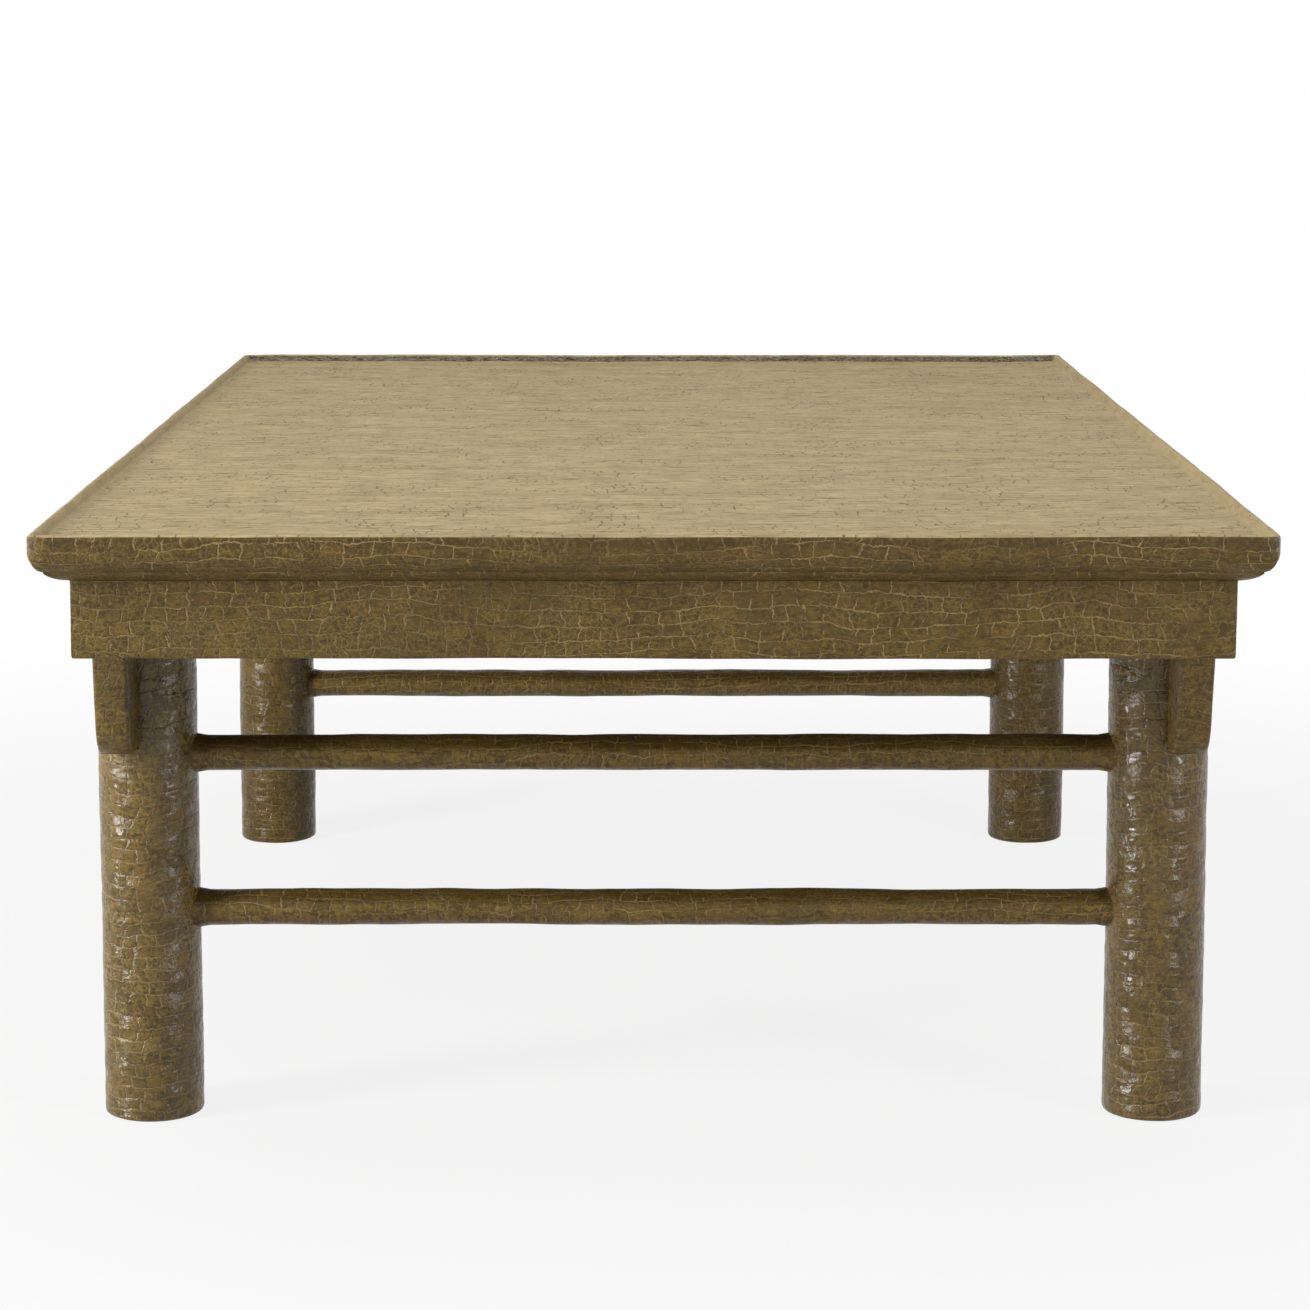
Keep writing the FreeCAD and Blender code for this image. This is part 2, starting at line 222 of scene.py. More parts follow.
class Nodes:
    """A node tree and short calls for the nodes that it is made of."""

    def __init__(self, tree):
        self.tree = tree

    def add(self, kind, **settings):
        node = self.tree.nodes.new(kind)
        for key, value in settings.items():
            setattr(node, key, value)
        return node

    def feed(self, socket, value):
        if isinstance(value, bpy.types.NodeSocket):
            self.tree.links.new(value, socket)
        else:
            socket.default_value = value

    def maths(self, operation, *values):
        node = self.add("ShaderNodeMath", operation=operation)
        for socket, value in zip(node.inputs, values):
            self.feed(socket, value)
        return node.outputs[0]

    def between(self, value, low, high, first=0.0, last=1.0):
        """A smooth change from first, where the value is low, to last, where it is high."""
        node = self.add("ShaderNodeMapRange", interpolation_type="SMOOTHSTEP")
        self.feed(node.inputs["Value"], value)
        self.feed(node.inputs["From Min"], low)
        self.feed(node.inputs["From Max"], high)
        self.feed(node.inputs["To Min"], first)
        self.feed(node.inputs["To Max"], last)
        return node.outputs["Result"]

    def seen_directly(self):
        """1 for rays from the camera, mirror-like rays and rays through glass, and 0 for all others."""
        rays = self.add("ShaderNodeLightPath").outputs
        seen = self.maths("MAXIMUM", rays["Is Camera Ray"], rays["Is Glossy Ray"])
        return self.maths("MAXIMUM", seen, rays["Is Transmission Ray"])


class Finish(Nodes):
    """A material whose patterns are drawn on Object coordinates, in millimetres."""

    def __init__(self, name):
        self.material = bpy.data.materials.new(name)
        self.material.use_nodes = True
        super().__init__(self.material.node_tree)
        metres = self.add("ShaderNodeTexCoord").outputs["Object"]
        self.place = self.vector_maths("SCALE", metres, scale=mm)
        self.x, self.y, self.z = self.split(self.place)

    def vector_maths(self, operation, first, second=None, scale=None):
        node = self.add("ShaderNodeVectorMath", operation=operation)
        self.feed(node.inputs[0], first)
        if second is not None:
            self.feed(node.inputs[1], second)
        if scale is not None:
            self.feed(node.inputs["Scale"], scale)
        return node.outputs[0]

    def split(self, vector):
        node = self.add("ShaderNodeSeparateXYZ")
        self.feed(node.inputs[0], vector)
        return node.outputs

    def join(self, x, y, z):
        node = self.add("ShaderNodeCombineXYZ")
        for socket, value in zip(node.inputs, (x, y, z)):
            self.feed(socket, value)
        return node.outputs[0]

    def share(self, value, part):
        return self.maths("MULTIPLY", value, part)

    def total(self, first, *others):
        for other in others:
            first = self.maths("ADD", first, other)
        return first

    def signed(self, value, reach):
        """Turns a value from 0 to 1 into one from minus reach to reach."""
        return self.maths("MULTIPLY_ADD", value, 2.0 * reach, -reach)

    def elsewhere(self):
        """The same place shifted, so that two patterns on it don't follow each other."""
        return self.vector_maths("ADD", self.place, noise_shift)

    def clouds(self, vector, wave_length, detail=2.0, roughness=0.5):
        """Soft noise from 0 to 1 with blotches of about the wave length."""
        node = self.add("ShaderNodeTexNoise")
        self.feed(node.inputs["Vector"], vector)
        self.feed(node.inputs["Scale"], 1.0 / wave_length)
        self.feed(node.inputs["Detail"], detail)
        self.feed(node.inputs["Roughness"], roughness)
        return node.outputs["Fac"]

    def drawn_clouds(self, along, across, depth, along_share, wave_length, detail=2.0, roughness=0.5):
        """Soft noise drawn out along the rows: the smaller the share, the longer its blotches."""
        vector = self.join(self.share(along, along_share), across, depth)
        return self.clouds(vector, wave_length, detail, roughness)

    def waver(self, vector, wave_length, reach, detail=2.0, roughness=0.5):
        """Soft noise from minus reach to reach."""
        return self.signed(self.clouds(vector, wave_length, detail, roughness), reach)

    def cells(self, feature, dimensions, socket_name, place, output):
        """One reading of a pattern of irregular cells, each about one unit wide."""
        node = self.add("ShaderNodeTexVoronoi", voronoi_dimensions=dimensions, feature=feature)
        self.feed(node.inputs[socket_name], place)
        self.feed(node.inputs["Scale"], 1.0)
        return node.outputs[output]

    def crackle(self, along, across, cell_length, cell_height):
        """Rows of short cells: gaps to the cracks between and across rows, and a chance and lean per cell."""
        rows = self.maths("DIVIDE", across, cell_height)
        row = self.maths("FLOOR", rows)
        from_middle = self.maths("SUBTRACT", self.maths("FRACT", rows), 0.5)
        from_edge = self.maths("SUBTRACT", 0.5, self.maths("ABSOLUTE", from_middle))
        row_gap = self.share(from_edge, cell_height)
        apart = self.share(row, row_slant_shift)
        slant = self.drawn_clouds(along, apart, depth=0.0, along_share=0.3, wave_length=9.0)
        slant = self.maths("MULTIPLY", self.signed(slant, reach=1.3), from_middle)
        run = self.maths("MULTIPLY_ADD", slant, cell_height, along)
        run = self.maths("MULTIPLY_ADD", row, row_shift, self.maths("DIVIDE", run, cell_length))
        cross_gap = self.share(self.cells("DISTANCE_TO_EDGE", "1D", "W", run, "Distance"), cell_length)
        chances = self.split(self.cells("F1", "1D", "W", run, "Color"))
        lean_height = self.maths("MULTIPLY", from_middle, self.signed(chances[1], reach=1.0))
        return Crackle(row, row_gap, cross_gap, chances[0], lean_height)

    def blend(self, share, first, second):
        node = self.add("ShaderNodeMix", data_type="RGBA")
        self.feed(node.inputs["Factor"], share)
        self.feed(node.inputs["A"], first)
        self.feed(node.inputs["B"], second)
        return node.outputs["Result"]

    def cover(self, colour, layers):
        """Lays tones over a colour one after another, each given as where it lies, how strongly, and tone."""
        for mask, strength, tone in layers:
            colour = self.blend(self.share(mask, strength), colour, tone)
        return colour

    def coat(self, colour, roughness, gloss_level, relief, relief_depth):
        """Feeds the shader; a relief of 1 is as high as the depth, in metres."""
        bump = self.add("ShaderNodeBump")
        self.feed(bump.inputs["Distance"], relief_depth)
        self.feed(bump.inputs["Height"], relief)
        shader = self.tree.nodes["Principled BSDF"]
        self.feed(shader.inputs["Base Color"], colour)
        self.feed(shader.inputs["Roughness"], roughness)
        self.feed(shader.inputs["Normal"], bump.outputs["Normal"])
        shader.inputs["Specular IOR Level"].default_value = gloss_level
        return self.material


def lacquer(
        name, place, cell, line_share, mottle, wrinkle, grit, roughness,
        soil_and_shade=None, gloss_level=0.28, lean=0.2, dark_share=0.0):
    """Olive-brown lacquer, crackled into wavy rows of short cells, with tan cracks that come and go."""
    finish = Finish(name)
    along, across = place(finish)
    elsewhere = finish.elsewhere()
    sway = finish.waver(finish.place, wave_length=110.0, reach=16.0)
    wander = finish.waver(elsewhere, wave_length=22.0, reach=3.0)
    tremor = finish.waver(finish.place, wave_length=4.5, reach=2.2, detail=4.0, roughness=0.65)
    ripple = finish.waver(elsewhere, wave_length=6.0, reach=3.4, detail=4.0, roughness=0.65)
    wavy_across = finish.total(across, sway, wander, tremor)
    wavy_along = finish.total(along, ripple)

    # Cracks between the cells, and finer ones inside them
    crackle = finish.crackle(wavy_along, wavy_across, *cell)
    edge_gap = finish.maths("MINIMUM", crackle.row_gap, crackle.cross_gap)
    edge_shade = finish.between(edge_gap, low=2.6, high=0.7)
    rows_apart = finish.share(crackle.row, row_mask_shift)
    row_clouds = finish.drawn_clouds(along, rows_apart, depth=0.0, along_share=0.22, wave_length=8.0)
    cross_clouds = finish.clouds(elsewhere, wave_length=11.0)
    row_mask = finish.between(row_clouds, low=0.40, high=0.58)
    cross_mask = finish.between(cross_clouds, low=0.40, high=0.58)
    row_line = finish.maths("MULTIPLY", finish.between(crackle.row_gap, low=0.7, high=0.15), row_mask)
    cross_line = finish.maths("MULTIPLY", finish.between(crackle.cross_gap, low=0.6, high=0.15), cross_mask)
    clearness = finish.clouds(elsewhere, wave_length=130.0, detail=1.0)
    clearness = finish.between(clearness, low=0.36, high=0.58, first=0.4)
    line = finish.maths("MULTIPLY", finish.maths("MAXIMUM", row_line, cross_line), clearness)
    wavy_place = finish.join(wavy_along, wavy_across, 0.0)
    fine_place = finish.vector_maths("SCALE", wavy_place, scale=1.0 / fine_cell)
    fine_gap = finish.cells("DISTANCE_TO_EDGE", "2D", "Vector", fine_place, "Distance")
    fine_mask = finish.between(finish.clouds(finish.place, wave_length=30.0), low=0.42, high=0.6)
    fine_line = finish.maths("MULTIPLY", finish.between(fine_gap, low=0.09, high=0.02), fine_mask)

    # Blotches of the colour and wrinkles of the surface
    mottle_length, mottle_height = mottle
    wrinkle_length, wrinkle_height, wrinkle_depth = wrinkle
    streaks = finish.drawn_clouds(
        along, wavy_across, finish.x, along_share=mottle_height / mottle_length, wave_length=mottle_height,
        detail=4.0, roughness=0.65)
    patches = finish.drawn_clouds(
        along, wavy_across, finish.x, along_share=0.45, wave_length=36.0, detail=4.0, roughness=0.65)
    moss = finish.clouds(elsewhere, wave_length=45.0, detail=4.0, roughness=0.65)
    russet = finish.drawn_clouds(
        along, wavy_across, finish.z, along_share=0.25, wave_length=11.0, detail=3.0, roughness=0.6)
    dashes = finish.drawn_clouds(
        along, wavy_across, finish.y, along_share=0.3, wave_length=2.8, roughness=0.6)
    speckle = finish.drawn_clouds(along, across, finish.y, along_share=0.5, wave_length=1.8, roughness=0.7)
    wrinkles = finish.drawn_clouds(
        along, across, finish.y, along_share=wrinkle_height / wrinkle_length, wave_length=wrinkle_height,
        detail=1.0)

    colour = finish.blend(finish.between(streaks, low=0.39, high=0.6), DARK_LACQUER, OLIVE_LACQUER)
    colour = finish.cover(colour, (
        (finish.between(patches, low=0.49, high=0.64), 0.75, AMBER_LACQUER),
        (finish.between(moss, low=0.49, high=0.62), 0.6, MOSS_LACQUER),
        (finish.between(russet, low=0.52, high=0.66), 0.75, RUSSET_LACQUER),
        (crackle.chance, 0.4, DARK_LACQUER),
        (finish.between(speckle, low=0.56, high=0.72), 0.35, TAN_CRACK),
        (finish.between(speckle, low=0.43, high=0.3), 0.4, DEEP_CRACK_AND_SHADE),
        (finish.between(dashes, low=0.46, high=0.34), 0.75, DEEP_CRACK_AND_SHADE),
        (edge_shade, 0.25, DEEP_CRACK_AND_SHADE),
    ))
    # Soil on the edges, and painted shade on the end lips, rear legs and stretchers, darkens the colour
    if soil_and_shade is not None:
        soil_and_shade_streaks = finish.between(streaks, low=soil_and_shade.streak_level, high=soil_and_shade.streak_level - soil_and_shade_fade)
        soil_and_shade_mask = finish.between(soil_and_shade.measure(finish), low=soil_and_shade.clean, high=soil_and_shade.full)
        soil_and_shade_mask = finish.maths("MULTIPLY", soil_and_shade_mask, soil_and_shade_streaks)
        colour = finish.cover(colour, ((soil_and_shade_mask, soil_and_shade.strength, DEEP_CRACK_AND_SHADE),))
    colour = finish.blend(dark_share, colour, DEEP_CRACK_AND_SHADE)
    colour = finish.cover(colour, (
        (fine_line, fine_line_share * line_share, TAN_CRACK),
        (line, line_share, TAN_CRACK),
    ))

    relief = finish.total(
        finish.share(finish.between(edge_gap, low=0.0, high=crack_slope_width), crack_depth),
        finish.share(finish.between(fine_gap, low=0.0, high=0.2), grit),
        finish.share(speckle, grit * speckle_grit_share),
        finish.share(wrinkles, wrinkle_depth),
        finish.share(crackle.lean_height, lean),
    )
    smooth, rough = roughness
    wear = finish.clouds(finish.place, wave_length=14.0, detail=3.0)
    wear = finish.between(wear, low=0.36, high=0.64, first=smooth, last=rough)
    return finish.coat(colour, wear, gloss_level, relief, relief_depth=lacquer_relief)


def top_lacquer(name, along_side=False):
    """The same lacquer on the flat top: smoother and paler, the paleness partly a painted sheen, with dark
    cracks, long streaks and dark lines of painted shade.
    """
    finish = Finish(name)
    along, across = (finish.y, finish.x) if along_side else (finish.x, finish.y)
    mark_share = side_lip_mark_share if along_side else top_mark_share
    elsewhere = finish.elsewhere()
    sway = finish.waver(elsewhere, wave_length=70.0, reach=9.0)
    tremor = finish.waver(finish.place, wave_length=5.0, reach=2.2, detail=3.0, roughness=0.65)
    ripple = finish.waver(elsewhere, wave_length=6.0, reach=3.2, detail=3.0, roughness=0.65)
    wavy_along = finish.total(along, ripple)
    wavy_across = finish.total(across, sway, tremor)

    crackle = finish.crackle(wavy_along, wavy_across, *top_cell)
    row_crack = finish.between(crackle.row_gap, low=0.6, high=0.15)
    cross_crack = finish.between(crackle.cross_gap, low=0.8, high=0.2)
    crowd = finish.clouds(finish.place, wave_length=60.0, detail=3.0)
    crowd = finish.between(crowd, low=0.46, high=0.66, first=0.25)
    crack = finish.maths("MULTIPLY", finish.maths("MAXIMUM", row_crack, cross_crack), crowd)

    fine_streaks = finish.drawn_clouds(
        along, across, depth=0.0, along_share=0.18, wave_length=5.5, detail=3.0, roughness=0.7)
    broad_streaks = finish.drawn_clouds(
        along, across, depth=0.0, along_share=0.18, wave_length=34.0, detail=3.0, roughness=0.6)
    # Dark lines along the rows are painted shade of small raised steps in the lacquer
    step_shade_lines = finish.drawn_clouds(along, across, depth=31.0, along_share=0.25, wave_length=6.5, roughness=0.6)
    flecks = finish.drawn_clouds(along, across, depth=53.0, along_share=1.8, wave_length=8.0, roughness=0.6)
    line = finish.between(step_shade_lines, low=0.39, high=0.3)

    # The pale colour stands partly for a painted sheen of the white surroundings
    most_paleness_and_sheen = top_least_paleness_and_sheen + mark_share * top_streak_paleness
    paleness_and_sheen = finish.between(
        fine_streaks, low=0.36, high=0.64, first=top_least_paleness_and_sheen, last=most_paleness_and_sheen)
    colour = finish.cover(finish.blend(paleness_and_sheen, TOP_DARK, TOP_PALE_AND_SHEEN), (
        (finish.between(broad_streaks, low=0.56, high=0.36), mark_share * 0.35, TOP_DARK),
        (crackle.chance, mark_share * 0.2, TOP_DARK),
        (finish.between(flecks, low=0.6, high=0.72), mark_share * 0.7, TAN_CRACK),
        (line, mark_share * 0.6, DEEP_CRACK_AND_SHADE),
        (crack, mark_share * 0.85, DEEP_CRACK_AND_SHADE),
    ))
    hollow = finish.maths("MAXIMUM", finish.share(line, 0.6), crack)
    roughness = finish.maths("MULTIPLY_ADD", hollow, top_crack_roughness, top_roughness)
    relief = finish.maths("SUBTRACT", fine_streaks, hollow)
    return finish.coat(colour, roughness, top_gloss_level, relief, relief_depth=top_relief * mark_share)


def bare_wood(name):
    """Planed wood that was never lacquered, with its grain along X."""
    finish = Finish(name)
    grain = finish.drawn_clouds(
        finish.x, finish.y, finish.z, along_share=0.05, wave_length=4.0, detail=4.0, roughness=0.6)
    broad_grain = finish.drawn_clouds(finish.x, finish.y, finish.z, along_share=0.05, wave_length=22.0)
    colour = finish.blend(grain, WOOD_BROWN, WOOD_PALE)
    colour = finish.cover(colour, ((broad_grain, 0.4, WOOD_SHADE),))
    roughness = finish.maths("MULTIPLY_ADD", grain, 0.2, 0.6)
    return finish.coat(colour, roughness, gloss_level=0.5, relief=grain, relief_depth=0.0003)


def along_width(finish):
    """Crackle rows along X, wrapped over the edge of a piece at either end of the table."""
    return finish.x, finish.maths("ADD", finish.z, finish.maths("ABSOLUTE", finish.y))


def along_length(finish):
    """Crackle rows along Y, wrapped over the edge of a piece at either side of the table."""
    return finish.y, finish.maths("ADD", finish.z, finish.maths("ABSOLUTE", finish.x))


def round_the_leg(finish):
    """Crackle rings round each of the four legs, with another height on each."""
    out_x = finish.maths("SUBTRACT", finish.maths("ABSOLUTE", finish.x), leg_x * mm)
    out_y = finish.maths("SUBTRACT", finish.maths("ABSOLUTE", finish.y), leg_y * mm)
    turn = finish.maths("ARCTAN2", out_y, out_x)
    shift = finish.share(finish.maths("SIGN", finish.x), leg_shift_x)
    shift = finish.maths("MULTIPLY_ADD", finish.maths("SIGN", finish.y), leg_shift_y, shift)
    return finish.share(turn, leg_radius * mm), finish.maths("ADD", finish.z, shift)


def along_stretcher(finish):
    """Crackle rows along X, wrapped round a stretcher."""
    return finish.x, finish.maths("MULTIPLY_ADD", finish.y, stretcher_wrap, finish.z)


def on_spandrel(finish):
    """Level crackle rows that run on round the edge of a spandrel."""
    return finish.maths("ADD", finish.x, finish.y), finish.z


def height_above_floor(finish):
    return finish.z


def upper_side(finish):
    """From 1 along the top of a stretcher to minus 1 along its underside; it lays painted shade along the
    top.
    """
    return finish.add("ShaderNodeAttribute", attribute_name=UPPER_SIDE).outputs["Fac"]


def make_finishes():
    """All finishes; cell, mottle and wrinkle are length and height, and a wrinkle has a depth too."""
    crest = lip_z * mm
    edge_look = dict(
        cell=(15.0, 10.5), line_share=0.68, mottle=(32.0, 4.0), wrinkle=(20.0, 5.0, 0.3), grit=0.1,
        roughness=(0.4, 0.6), dark_share=0.24,
        soil_and_shade=SoilAndShade(
            height_above_floor, clean=crest - 13.0, full=crest - 6.0, strength=0.65, streak_level=0.75),
    )
    leg_look = dict(
        cell=(13.0, 9.5), mottle=(7.0, 4.0), wrinkle=(24.0, 7.0, 1.6), grit=0.015,
        roughness=(0.17, 0.3), lean=1.8,
    )
    return {
        "end": lacquer("crackled_lacquer_ends", along_width, **edge_look),
        "side": lacquer("crackled_lacquer_sides", along_length, **edge_look),
        # The slopes of the end lips are darkened all over: painted shade
        "end_lip": lacquer(
            "crackled_lacquer_end_lips", along_width, cell=(11.0, 8.0), line_share=0.2, mottle=(20.0, 3.0),
            wrinkle=(9.0, 6.0, 4.5), grit=0.02, roughness=(0.12, 0.3), gloss_level=0.5,
            soil_and_shade=SoilAndShade(height_above_floor, clean=0.0, full=deck_z * mm, strength=0.85, streak_level=1.0),
        ),
        "leg": lacquer("crackled_lacquer_legs", round_the_leg, line_share=0.55, gloss_level=0.37, **leg_look),
        # Rear legs: a duller copy of the leg lacquer, darker towards the floor as painted shade
        "shaded_rear_leg": lacquer(
            "crackled_lacquer_rear_legs", round_the_leg, line_share=0.4, gloss_level=0.24, **leg_look,
            soil_and_shade=SoilAndShade(height_above_floor, clean=330.0, full=60.0, strength=0.3, streak_level=1.2),
        ),
        # Stretchers take painted shade along their tops, through the upper-side measure
        "stretcher": lacquer(
            "crackled_lacquer_stretchers", along_stretcher, cell=(13.0, 10.0), line_share=0.5,
            mottle=(18.0, 4.0), wrinkle=(14.0, 6.0, 0.8), grit=0.04, roughness=(0.32, 0.5),
            soil_and_shade=SoilAndShade(upper_side, clean=0.15, full=0.6, strength=0.6, streak_level=0.85),
        ),
        "spandrel": lacquer(
            "crackled_lacquer_spandrels", on_spandrel, cell=(12.0, 9.0), line_share=0.5,
            mottle=(9.0, 4.0), wrinkle=(12.0, 6.0, 0.8), grit=0.04, roughness=(0.25, 0.45),
        ),
        "top": top_lacquer("crackled_lacquer_top"),
        "side_lip": top_lacquer("crackled_lacquer_side_lips", along_side=True),
        "bare": bare_wood("bare_wood"),
    }


def new_verts(result):
    return [item for item in result["geom"] if isinstance(item, bmesh.types.BMVert)]


def even_steps(start, end, step):
    """Values from start to end, both included, about a step apart."""
    count = max(1, round(abs(end - start) / step))
    return [start + (end - start) * index / count for index in range(count + 1)]


def bend(start, corner, end, steps=bend_steps):
    """Points of a soft bend from start to end that is drawn towards a corner."""
    points = []
    for index in range(1, steps + 1):
        share = index / steps
        first = Vector(start).lerp(Vector(corner), share)
        second = Vector(corner).lerp(Vector(end), share)
        points.append(tuple(first.lerp(second, share)))
    return points


def work_by_hand(bm):
    """Moves every vertex by a fraction of a millimetre; pieces that meet are moved alike."""
    for vert in bm.verts:
        place = vert.co.copy()
        for wave_length, depth in worked_waves:
            vert.co += noise.noise_vector(place / wave_length) * depth


def ease_corners(bm, half_x, half_y, radius):
    """Rounds the four upright corners of a rectangular ring."""
    for vert in bm.verts:
        over = Vector((abs(vert.co.x) - half_x + radius, abs(vert.co.y) - half_y + radius))
        if min(over) > 0:
            over *= max(over) / over.length
            vert.co.x = math.copysign(half_x - radius + over.x, vert.co.x)
            vert.co.y = math.copysign(half_y - radius + over.y, vert.co.y)


def edges_leaving(bm, verts):
    """The edges with one end among the vertices and the other elsewhere."""
    return [edge for edge in bm.edges if (edge.verts[0] in verts) != (edge.verts[1] in verts)]


def divide_bar(bm, near, far, length):
    """Cuts a bar into short steps along its length, with finer ones next to its ends."""
    cuts = round(length / long_step)
    bmesh.ops.subdivide_edges(bm, edges=edges_leaving(bm, set(near)), cuts=cuts, use_grid_fill=True)
    last_edges = edges_leaving(bm, set(near) | set(far))
    bmesh.ops.subdivide_edges(bm, edges=last_edges, cuts=corner_cuts, use_grid_fill=True)


def make_piece(name, bm, materials, nodes):
    """Turns a bmesh into a piece that replaces CAD nodes and rides with the table."""
    bmesh.ops.recalc_face_normals(bm, faces=bm.faces)
    for face in bm.faces:
        face.smooth = True
    mesh = bpy.data.meshes.new(name)
    bm.to_mesh(mesh)
    bm.free()
    mesh.set_sharp_from_angle(angle=sharp_angle)
    for material in materials:
        mesh.materials.append(material)
    piece = bpy.data.objects.new(name, mesh)
    bpy.context.scene.collection.objects.link(piece)
    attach(piece, "root")
    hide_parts(*nodes)


def mitred_bar(profile, half_across, half_run, turn):
    """A bar with mitred ends; its profile is drawn as inset and height, and turn swings it into place."""
    bm = bmesh.new()
    near = [bm.verts.new((inset - half_across, inset - half_run, z)) for inset, z in profile]
    far = new_verts(bmesh.ops.extrude_face_region(bm, geom=[bm.faces.new(near)]))
    bmesh.ops.scale(bm, verts=far, vec=(1, -1, 1))
    divide_bar(bm, near, far, 2 * half_run)
    swing = Matrix.Rotation(math.radians(turn), 3, "Z")
    bmesh.ops.rotate(bm, verts=bm.verts, cent=(0, 0, 0), matrix=swing)
    return bm


def frame_profile():
    """From the panel over the lip and down the moulded edge to the soffit."""
    band_z = lip_z - edge_band_depth
    thumb_z = band_z - thumb_depth
    step_z = thumb_z - edge_step_depth
    cove_foot = lip_crest_width + lip_cove_width
    slope_width = lip_cove_width * lip_slope_share
    slope_foot = (lip_crest_width + slope_width, lip_z - (lip_z - deck_z) * lip_slope_drop_share)
    slope_head = (lip_crest_width, lip_z - lip_crest_drop)
    cove_corner = (lip_crest_width + slope_width * lip_cove_corner_share, deck_z)
    thumb_turn_share, thumb_drop_share = thumb_turn
    soffit_turn_share, soffit_drop_share = soffit_turn
    thumb_corner = (thumb_inset * thumb_turn_share, band_z - thumb_depth * thumb_drop_share)
    soffit_corner = (
        edge_step_inset + (soffit_inset - edge_step_inset) * soffit_turn_share,
        step_z - (step_z - soffit_z) * soffit_drop_share,
    )
    step_corner = (edge_step_inset, thumb_z)
    points = [(inset, deck_z) for inset in even_steps(frame_width, cove_foot, long_step)]
    points += bend((cove_foot, deck_z), cove_corner, slope_foot)
    points += bend(slope_foot, slope_head, (lip_edge_radius, lip_z))
    points += bend((lip_edge_radius, lip_z), (0, lip_z), (0, lip_z - lip_edge_radius))
    points += [(0, (lip_z - lip_edge_radius + band_z) / 2), (0, band_z)]
    points += bend((0, band_z), thumb_corner, (thumb_inset, thumb_z), wide_bend_steps)
    points += bend((thumb_inset, thumb_z), step_corner, (edge_step_inset, step_z), small_bend_steps)
    points += bend((edge_step_inset, step_z), soffit_corner, (soffit_inset, soffit_z))
    points += [(inset, soffit_z) for inset in even_steps(soffit_inset, frame_width, hidden_step)[1:]]
    return points


def apron_profile():
    """From the fillet under the soffit down the face, round the foot and up the inner face."""
    foot = apron_bottom_z
    arris = apron_arris_radius
    top = soffit_z - apron_fillet_height
    points = [(-apron_fillet_width, soffit_z)]
    points += bend((-apron_fillet_width, soffit_z), (0, soffit_z), (0, top))
    points += [(0, z) for z in even_steps(top, foot + arris, long_step)[1:]]
    points += bend((0, foot + arris), (0, foot), (arris, foot))
    points += [(inset, foot) for inset in even_steps(arris, apron_thickness - arris, long_step)[1:]]
    points += bend((apron_thickness - arris, foot), (apron_thickness, foot), (apron_thickness, foot + arris))
    points += [(apron_thickness, z) for z in even_steps(foot + arris, soffit_z, long_step)[1:]]
    return points


def mark_top(bm, is_side):
    """Gives upward faces the finish of the top, and the lip one of its own, at the ends only on its slope."""
    top_finish, lip_finish = 1, 2
    for face in bm.faces:
        face.normal_update()
        middle = face.calc_center_median()
        inset = half_width - abs(middle.x) if is_side else half_length - abs(middle.y)
        is_inside = inset > lip_crest_width - edge_slack
        on_lip = middle.z > deck_z + lip_least_rise
        faces_up = abs(face.normal.z) > level_share and middle.z > deck_z - edge_slack
        if on_lip and (is_inside or faces_up and is_side):
            face.material_index = lip_finish
        elif faces_up:
            face.material_index = top_finish


def build_rings(finishes):
    """The four members of the top frame and the four aprons."""
    turns = {"left": 0, "front": 90, "right": 180, "rear": 270}
    for place, turn in turns.items():
        is_side = place in ("left", "right")
        finish = finishes["side"] if is_side else finishes["end"]
        across, run = (half_width, half_length) if is_side else (half_length, half_width)
        bm = mitred_bar(frame_profile(), across, run, turn)
        ease_corners(bm, half_width, half_length, frame_corner_radius)
        mark_top(bm, is_side)
        work_by_hand(bm)
        nodes = ["top_frame_" + place, "top_lip_" + place]
        lip_finish = finishes["side_lip"] if is_side else finishes["end_lip"]
        make_piece(nodes[0] + "_lacquered", bm, (finish, finishes["top"], lip_finish), nodes)
        across, run = apron_half_width, apron_half_length
        if not is_side:
            across, run = run, across
        bm = mitred_bar(apron_profile(), across, run, turn)
        ease_corners(bm, apron_half_width, apron_half_length, apron_corner_radius)
        work_by_hand(bm)
        node = ("side_apron_" if is_side else "end_apron_") + place
        make_piece(node + "_lacquered", bm, (finish,), [node])


def build_panel(finishes):
    """The boards of the panel, flush with the frame, bare below."""
    top_finish, bare_finish = 0, 1
    boards = sorted(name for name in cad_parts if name.startswith("panel_board_"))
    board_width = 2 * opening_x / len(boards)
    for index, node in enumerate(boards):
        bm = bmesh.new()
        size = (board_width, 2 * opening_y, deck_z - panel_bottom_z)
        middle = ((index + 0.5) * board_width - opening_x, 0, (deck_z + panel_bottom_z) / 2)
        place = Matrix.Translation(middle) @ Matrix.Diagonal((*size, 1.0))
        bmesh.ops.create_cube(bm, size=1.0, matrix=place)
        for axis in (0, 1):
            edges = [
                edge for edge in bm.edges
                if abs(edge.verts[0].co[axis] - edge.verts[1].co[axis]) > size[axis] / 2
            ]
            cuts = round(size[axis] / long_step) - 1
            bmesh.ops.subdivide_edges(bm, edges=edges, cuts=cuts, use_grid_fill=True)
        for face in bm.faces:
            is_below = face.calc_center_median().z < middle[2]
            face.material_index = bare_finish if is_below else top_finish
        work_by_hand(bm)
        make_piece(node + "_lacquered", bm, (finishes["top"], finishes["bare"]), [node])


def open_edges(bm, axis, value):
    """The edges in a plane across an axis that have a face on one side at most."""
    return [
        edge for edge in bm.edges
        if len(edge.link_faces) < 2 and all(abs(vert.co[axis] - value) < touching for vert in edge.verts)
    ]


